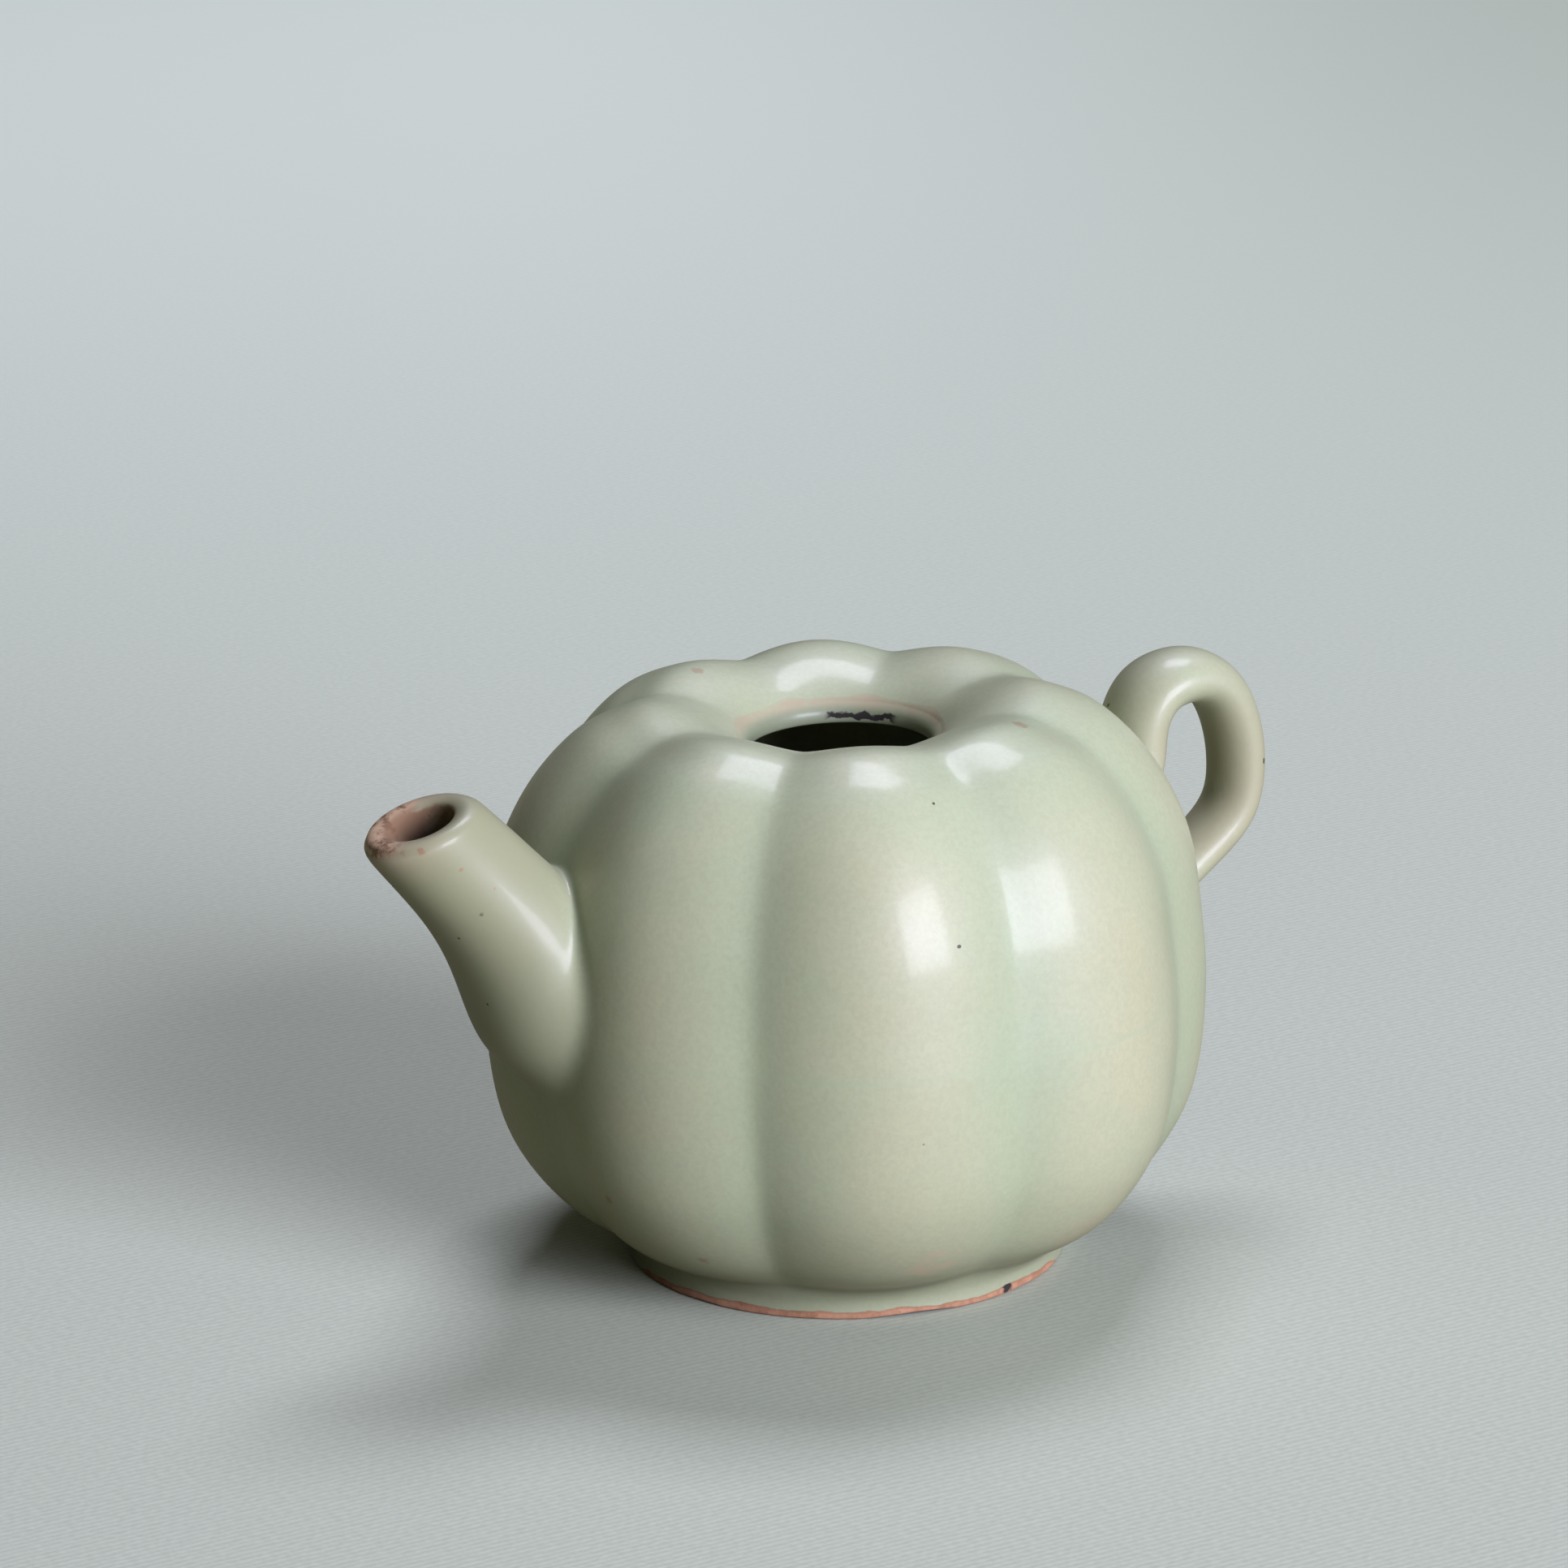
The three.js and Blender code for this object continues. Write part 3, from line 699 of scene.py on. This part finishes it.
finish_glaze(spout_glaze, spout_colour, spout_glaze.rest_of(bare_clay))
dress(pouring_spout, spout_glaze)
melt_into_body(pouring_spout, SPOUT_MELT)
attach(pouring_spout, "root")
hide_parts("spout", "spout_slip")

bpy.ops.object.select_all(action="DESELECT")
bpy.ops.mesh.primitive_cylinder_add(vertices=DRILL_SIDES, radius=BORE * MM, depth=DRILL_LENGTH,
                                    location=below_lip(DRILL_DEPTH, BORE, BORE_TILT)[0],
                                    rotation=(0, -BORE_TILT, 0))
drill = bpy.context.object
finish_modifier(upper_half, "BOOLEAN", operation="DIFFERENCE", object=drill, solver="EXACT")
bpy.data.objects.remove(drill)

# Handle. A thick pulled strap of clay, bent into a loop and pressed on the groove opposite the spout,
# with slip smoothed round both of its roots. It is swept ring by ring along its middle line.
STRAP_SIDES = 16
STRAP_LINE = [(49.0, 64.6), (49.0, 70.3), (51.4, 74.9), (55.5, 76.5), (60.0, 76.4), (63.6, 73.9),
              (65.8, 69.5), (66.9, 64.8), (67.1, 59.9), (66.2, 55.1), (62.9, 51.5), (58.2, 48.2),
              (53.3, 44.5)]

# Half thickness and half width of the strap at its upper and its lower end, in mm
STRAP_UPPER = (4.5, 7)
STRAP_LOWER = (3.4, 5.5)

# Rings at the roots: middle, half thickness and half width in mm, and the name of the ring
UPPER_END = [((45.4, 61.0), 6.4, 9.8, "sunk"), ((45.4, 61.0), 7.4, 10.8, "feather"),
             ((45.9, 61.4), 5.2, 8.6, "skirt")]
LOWER_END = [((49.6, 41.6), 3.6, 6.6, "skirt"), ((49.2, 41.2), 5.4, 8.4, "feather"),
             ((49.2, 41.2), 4.4, 7.4, "sunk")]
UPPER_TILT = math.radians(140)
HANDLE_POOL = 2.5 * MM
HANDLE_MELT = 1.2 * MM

# A darker buff for worn patches, which also serve as painted shade on the strap's sides
WORN_BUFF_AND_SHADE = (0.315, 0.295, 0.185, 1)
LIT_TOP_SPAN = (87, 68)
HANDLE_SPECKS = [(63.5, -1.6, 56.2, 0.5), (46.4, 1.8, 73, 0.4), (68.8, -5.2, 62.5, 0.5)]


def strap_tilt(index):
    """The tilt of the strap's section at a point of its middle line."""
    before = STRAP_LINE[max(index - 1, 0)]
    after = STRAP_LINE[min(index + 1, len(STRAP_LINE) - 1)]
    return math.atan2(after[1] - before[1], after[0] - before[0]) + math.pi / 2


def strap_size(index):
    """Half thickness and half width of the strap at a point of its middle line."""
    share = index / (len(STRAP_LINE) - 1)
    thinned = share * share * (3 - 2 * share)
    return [upper + (lower - upper) * thinned for upper, lower in zip(STRAP_UPPER, STRAP_LOWER)]


end_rings = [(on_axis(*place), reach * MM, width * MM, UPPER_TILT) for place, reach, width, _ in UPPER_END]
ring = start_ring(STRAP_SIDES, *end_rings[0])
loop_handle = bpy.context.object
loop_handle.name = "loop_handle"
bpy.ops.mesh.edge_face_add()
mark_ring(loop_handle, "upper_sunk")
select_open_edge()
for place, name in zip(end_rings[1:], ["upper_feather", "upper_skirt"]):
    ring = add_ring(ring, *place)
    mark_ring(loop_handle, name)
for index, place in enumerate(STRAP_LINE):
    reach, width = strap_size(index)
    ring = add_ring(ring, on_axis(*place), reach * MM, width * MM, strap_tilt(index))
for place, reach, width, name in LOWER_END:
    ring = add_ring(ring, on_axis(*place), reach * MM, width * MM, strap_tilt(len(STRAP_LINE) - 1))
    mark_ring(loop_handle, "lower_" + name)
bpy.ops.mesh.edge_face_add()
bpy.ops.object.mode_set(mode="OBJECT")
for end in ["upper_", "lower_"]:
    lay_on_body(loop_handle, "skirt", "feather", "sunk", end=end)
round_off(loop_handle, PIECE_FINENESS)
glaze_pools_at_root(loop_handle, HANDLE_POOL)

handle_glaze = Nodes("handle_celadon")
# Worn patches of darker buff, also painted shade: they fade out towards the strap's top, which is left
# lighter as painted light
wear_and_painted_shade = handle_glaze.product(handle_glaze.patches(scale=45, detail=3, low=0.25, high=0.55, most=0.7),
                            handle_glaze.span(handle_glaze.height(), LIT_TOP_SPAN))
wear_and_painted_shade = away_from_root(handle_glaze, wear_and_painted_shade)
handle_colour = handle_glaze.mix(wear_and_painted_shade, glaze_colour(handle_glaze), WORN_BUFF_AND_SHADE)
handle_colour = handle_glaze.mix(handle_glaze.marks(HANDLE_SPECKS), handle_colour, SPECK_BROWN)
finish_glaze(handle_glaze, handle_colour)
dress(loop_handle, handle_glaze)
melt_into_body(loop_handle, HANDLE_MELT)
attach(loop_handle, "root")
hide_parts("handle", "handle_upper_slip", "handle_lower_slip")

# Mouth rim. A turned ring set into the hole between the lobes' tops, rounded over with a wet leather.
# Its glaze is thin and has fired pinkish. It is turned ring by ring, and its edge lies on the lobes.
RIM_SIDES = 64
RIM_FINENESS = 2
RIM_OUTSIDE = (16, 74.5)
RIM_OUTLINE = [(13.5, 74.5), (13.2, 75), (13.2, 76.1), (13.7, 77), (15, 78)]
RIM_EDGE = [(16.6, "skirt"), (18.2, "feather"), (17.4, "sunk")]
RIM_EDGE_HEIGHT = 79.5
RIM_POOL = 0.1 * MM
RIM_MELT = 0.3 * MM
RIM_PINK = (0.37, 0.31, 0.20, 1)
STAIN_BLACK = (0.015, 0.012, 0.01, 1)
STAIN_SIDE = (0.68, 0.73, 0)

# Distances in mm between which the finish changes: out from the axis, up the throat, which is darkened
# downwards as painted shade, and towards the stain
BAND_OUTSIDE = (17.6, 14.6)
BAND_INSIDE = (13.2, 14.2)
THROAT_SHADE_SPAN = (77.8, 76.4)
STAIN_TOP = (76.4, 76.1)
STAIN_BOTTOM = (75.3, 75.5)
STAIN_SPAN = (12, 12.6)

rim_start = RIM_OUTSIDE[0] * MM
ring = start_ring(RIM_SIDES, on_axis(0, RIM_OUTSIDE[1]), rim_start, rim_start)
rim_ring = bpy.context.object
rim_ring.name = "rim_ring"
mark_ring(rim_ring, "outside")
for radius, height in RIM_OUTLINE:
    ring = turned_ring(ring, radius, height)
for radius, name in RIM_EDGE:
    ring = turned_ring(ring, radius, RIM_EDGE_HEIGHT)
    mark_ring(rim_ring, name)
bridge_to("outside")
lay_on_body(rim_ring, "skirt", "feather", "sunk")
round_off(rim_ring, RIM_FINENESS)
glaze_pools_at_root(rim_ring, RIM_POOL)

rim_glaze = Nodes("rim_thin_glaze")
throat_height = rim_glaze.height()
from_axis = rim_glaze.ragged(rim_glaze.from_line(on_axis(0, 0), UP), scale=160, spread=0.7 * MM)
band = rim_glaze.product(rim_glaze.span(from_axis, BAND_OUTSIDE), rim_glaze.span(from_axis, BAND_INSIDE),
                         rim_glaze.patches(scale=260, detail=5, roughness=0.7, low=0.25, high=0.6,
                                           most=0.85))
rim_colour = rim_glaze.mix(band, glaze_colour(rim_glaze), RIM_PINK)
# Painted shade: the throat is darkened with the deep grey-green as it runs down into the mouth
rim_colour = rim_glaze.mix(rim_glaze.span(throat_height, THROAT_SHADE_SPAN, most=0.7), rim_colour, DEEP_GLAZE_AND_SHADE)
stain_height = rim_glaze.ragged(throat_height, scale=700, spread=0.9 * MM)
stain_run = rim_glaze.ragged(rim_glaze.along(on_axis(0, 0), STAIN_SIDE), scale=300, spread=0.6 * MM)
stain = rim_glaze.product(rim_glaze.span(stain_height, STAIN_TOP),
                          rim_glaze.span(stain_height, STAIN_BOTTOM),
                          rim_glaze.span(stain_run, STAIN_SPAN))
rim_colour = rim_glaze.mix(stain, rim_colour, STAIN_BLACK)
finish_glaze(rim_glaze, rim_colour, rim_glaze.rest_of(stain))
dress(rim_ring, rim_glaze)
melt_into_body(rim_ring, RIM_MELT)
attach(rim_ring, "root")
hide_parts("mouth_rim")

# Foot ring. A turned ring of the same clay under the body, coved into the lobes above. The glaze stops
# just above its wiped edge, where the clay has burnt orange. It is turned ring by ring, and its lower
# edge is left a little wavy.
FOOT_SIDES = 96
FOOT_FINENESS = 2

# The foot's rings from the cove inwards: radius and height in mm, with names where a ring is kept
FOOT_OUTSIDE = (34, 6)
FOOT_COVE = [(37, 6.6, "feather"), (34.8, 5.2, "skirt")]
FOOT_OUTLINE = [(33.2, 3.6), (32.7, 2.4), (32.7, 1.1), (32.8, 0.3), (32.6, 0), (31, 0), (28.6, 0),
                (27.8, 0.4), (27.3, 1.6), (27, 3.2), (25.8, 3.9), (24.6, 4.1), (28, 5.6)]

# Waves of the lower edge: how many go round and how far each is turned, how high they reach up the foot,
# and how far they lift its edge
FOOT_WAVES = [(3, 0.6), (7, 2.1), (12, 4)]
WAVE_HEIGHT = 1.5 * MM
WAVE_LIFT = 0.45 * MM

# The foot is a little flatter on one side: how far, where, how widely, and up to what height
FLAT_DEPTH = 1.6 * MM
FLAT_AZIMUTH = math.radians(-28)
FLAT_SPREAD = math.radians(34)
FLAT_HEIGHT = 3 * MM
FLAT_FADE = 2 * MM
FOOT_POOL = 1 * MM
FOOT_MELT = 1 * MM

CLAY_ORANGE = (0.38, 0.20, 0.115, 1)
CLAY_DARK = (0.24, 0.11, 0.055, 1)
FOOT_SPOTS = [(7.5, -31.6, 1, 1), (-10, -30.7, 0.8, 0.5)]

# The glaze line stands at this height on the front, and runs out at the edge elsewhere
GLAZE_LINE = 1.15 * MM
FRONT_AZIMUTH = math.radians(-119)
FRONT_SPAN = (10, 15)
COVER_SPAN = (-0.1, 0.1)
DARK_EDGE = (-0.5, 0)

foot_start = FOOT_OUTSIDE[0] * MM
ring = start_ring(FOOT_SIDES, on_axis(0, FOOT_OUTSIDE[1]), foot_start, foot_start)
foot_turning = bpy.context.object
foot_turning.name = "foot_turning"
mark_ring(foot_turning, "outside")
for radius, height, name in FOOT_COVE:
    ring = turned_ring(ring, radius, height)
    mark_ring(foot_turning, name)
for radius, height in FOOT_OUTLINE:
    ring = turned_ring(ring, radius, height)
bridge_to("outside")
lay_on_body(foot_turning, "skirt", "feather")
round_off(foot_turning, FOOT_FINENESS)
for vertex in foot_turning.data.vertices:
    turn = math.atan2(vertex.co.y, vertex.co.x - AXIS_X)
    low = max(0, 1 - vertex.co.z / WAVE_HEIGHT)
    waves = sum(math.sin(turn * count + shift) for count, shift in FOOT_WAVES)
    vertex.co.z += WAVE_LIFT * low * max(0, waves) / len(FOOT_WAVES)
    inward = FLAT_DEPTH * math.exp(-((turn - FLAT_AZIMUTH) / FLAT_SPREAD) ** 2)
    inward *= min(1, max(0, 1 - (vertex.co.z - FLAT_HEIGHT) / FLAT_FADE))
    vertex.co.x -= inward * math.cos(turn)
    vertex.co.y -= inward * math.sin(turn)
glaze_pools_at_root(foot_turning, FOOT_POOL)

foot_glaze = Nodes("foot_celadon_and_clay")
foot_height = foot_glaze.ragged(foot_glaze.height(), scale=55, spread=0.9 * MM)
foot_height = foot_glaze.ragged(foot_height, scale=300, spread=0.55 * MM)
to_front = foot_glaze.along(on_axis(0, 0), (math.cos(FRONT_AZIMUTH), math.sin(FRONT_AZIMUTH), 0))
glaze_end = foot_glaze.product(foot_glaze.span(to_front, FRONT_SPAN), GLAZE_LINE)
above_line = foot_glaze.math("SUBTRACT", foot_height, glaze_end)
cover = foot_glaze.span(above_line, COVER_SPAN)
burnt_clay = foot_glaze.patches(scale=350, detail=5, roughness=0.7, low=0.35, high=0.7)
foot_clay = foot_glaze.mix(burnt_clay, CLAY_ORANGE, CLAY_DARK)
foot_clay = foot_glaze.mix(foot_glaze.span(above_line, DARK_EDGE, most=0.6), foot_clay, CLAY_DARK)
foot_clay = foot_glaze.mix(foot_glaze.marks(FOOT_SPOTS), foot_clay, STAIN_BLACK)
foot_colour = foot_glaze.mix(cover, foot_clay, glaze_colour(foot_glaze))
finish_glaze(foot_glaze, foot_colour, cover)
dress(foot_turning, foot_glaze)
melt_into_body(foot_turning, FOOT_MELT)
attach(foot_turning, "root")
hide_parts("foot_ring")
bpy.data.objects.remove(shell)

# Studio. A pale grey-blue paper floor, one large softbox low in front on the right, a small one overhead
# behind the ewer, and a weak warm fill on the left. The camera stands in front of the spout side and
# looks down on the shoulder.
FLOOR_SIDES = 96
FLOOR_RADIUS = 4
PAPER_NEAR = (0.465, 0.506, 0.405, 1)
PAPER_FAR = (0.595, 0.663, 0.548, 1)
PAPER_RIGHT = (0.41, 0.458, 0.36, 1)
PAPER_FIBRE = (0.31, 0.34, 0.27, 1)
PAPER_BOUNCE = (0.205, 0.205, 0.13, 1)
PAPER_ROUGHNESS = 0.85
PAPER_SPECULAR = 0.2

# The paper is painted lighter towards the back and darker towards the right, as painted light and shade
# along the floor, between two distances in mm
AHEAD = (0.489, 0.872, 0)
AHEAD_SPAN = (-100, 900)
RIGHTWARDS = (0.872, -0.489, 0)
RIGHT_SPAN = (-100, 250)
WEAVE = {"Scale": 260, "Distortion": 2, "Detail": 3}
GRAIN_SHARE = 0.3

DAYLIGHT = (1, 0.985, 1.23)
WARM_FILL = (1, 0.95, 0.72)
LIGHT_TARGET = Vector((0, 0, 0.045))

# Softboxes: name, azimuth and elevation in degrees, distance, width and height in m, power and colour
SOFTBOXES = [("window_softbox", -78, 18.5, 3, 1.6, 1.8, 165, DAYLIGHT),
             ("overhead_softbox", 48, 63, 2.75, 1.1, 0.9, 47, DAYLIGHT),
             ("left_softbox", 165, 45, 3, 1.2, 1, 3.5, WARM_FILL)]
SKY = (0.6, 0.6, 0.52, 1)
SKY_STRENGTH = 0.03

# Place in m, turn in degrees, lens and sensor in mm, and how far the camera sees in m
CAMERA_PLACE = (-0.4871, -0.8719, 0.3850)
CAMERA_TURN = (72.498, 1.395, -29.276)
CAMERA_LENS = 167.7
CAMERA_SENSOR = 36
CAMERA_REACH = 20

bpy.ops.object.select_all(action="DESELECT")
bpy.ops.mesh.primitive_circle_add(vertices=FLOOR_SIDES, radius=FLOOR_RADIUS, fill_type="TRIFAN",
                                  location=(0, 0, 0))
floor = bpy.context.object
floor.name = "paper_floor"
paper = Nodes("pale_paper")
sweep = paper.span(paper.along((0, 0, 0), AHEAD), AHEAD_SPAN)
rightness = paper.span(paper.along((0, 0, 0), RIGHTWARDS), RIGHT_SPAN)
# Painted light and shade: the paper is lighter towards the back and darker at the far right
paper_tone_and_light = paper.mix(sweep, PAPER_NEAR, PAPER_FAR)
paper_tone_and_light = paper.mix(paper.product(rightness, sweep), paper_tone_and_light, PAPER_RIGHT)
weave = paper.add("TexWave", {"Vector": paper.place, **WEAVE}, bands_direction="Y").outputs["Fac"]
fibre = paper.math("ADD", paper.patches(scale=900, detail=3, low=0.3, high=0.7, most=0.8), weave)
paper_tone_and_light = paper.mix(paper.product(fibre, paper.rest_of(sweep), GRAIN_SHARE), paper_tone_and_light, PAPER_FIBRE)
seen = paper.add("LightPath").outputs["Is Camera Ray"]
paper.set(paper.shader.inputs["Base Color"], paper.mix(seen, PAPER_BOUNCE, paper_tone_and_light))
paper.shader.inputs["Roughness"].default_value = PAPER_ROUGHNESS
paper.shader.inputs["Specular IOR Level"].default_value = PAPER_SPECULAR
floor.data.materials.append(paper.material)

for name, azimuth, elevation, distance, width, tall, power, colour in SOFTBOXES:
    light = bpy.data.lights.new(name, "AREA")
    light.shape = "RECTANGLE"
    light.size = width
    light.size_y = tall
    light.energy = power
    light.color = colour
    lamp = bpy.data.objects.new(name, light)
    bpy.context.collection.objects.link(lamp)
    turn, rise = math.radians(azimuth), math.radians(elevation)
    away = Vector((math.cos(turn) * math.cos(rise), math.sin(turn) * math.cos(rise), math.sin(rise)))
    lamp.location = LIGHT_TARGET + away * distance
    lamp.rotation_euler = (-away).to_track_quat("-Z", "Y").to_euler()

world = bpy.data.worlds.new("studio")
bpy.context.scene.world = world
world.use_nodes = True
sky = world.node_tree.nodes["Background"]
sky.inputs["Color"].default_value = SKY
sky.inputs["Strength"].default_value = SKY_STRENGTH

camera_data = bpy.data.cameras.new("camera")
camera_data.sensor_width = CAMERA_SENSOR
camera_data.lens = CAMERA_LENS
camera_data.clip_end = CAMERA_REACH
camera = bpy.data.objects.new("camera", camera_data)
bpy.context.collection.objects.link(camera)
camera.location = CAMERA_PLACE
camera.rotation_euler = [math.radians(angle) for angle in CAMERA_TURN]
bpy.context.scene.camera = camera
bpy.context.scene.view_settings.view_transform = "Standard"
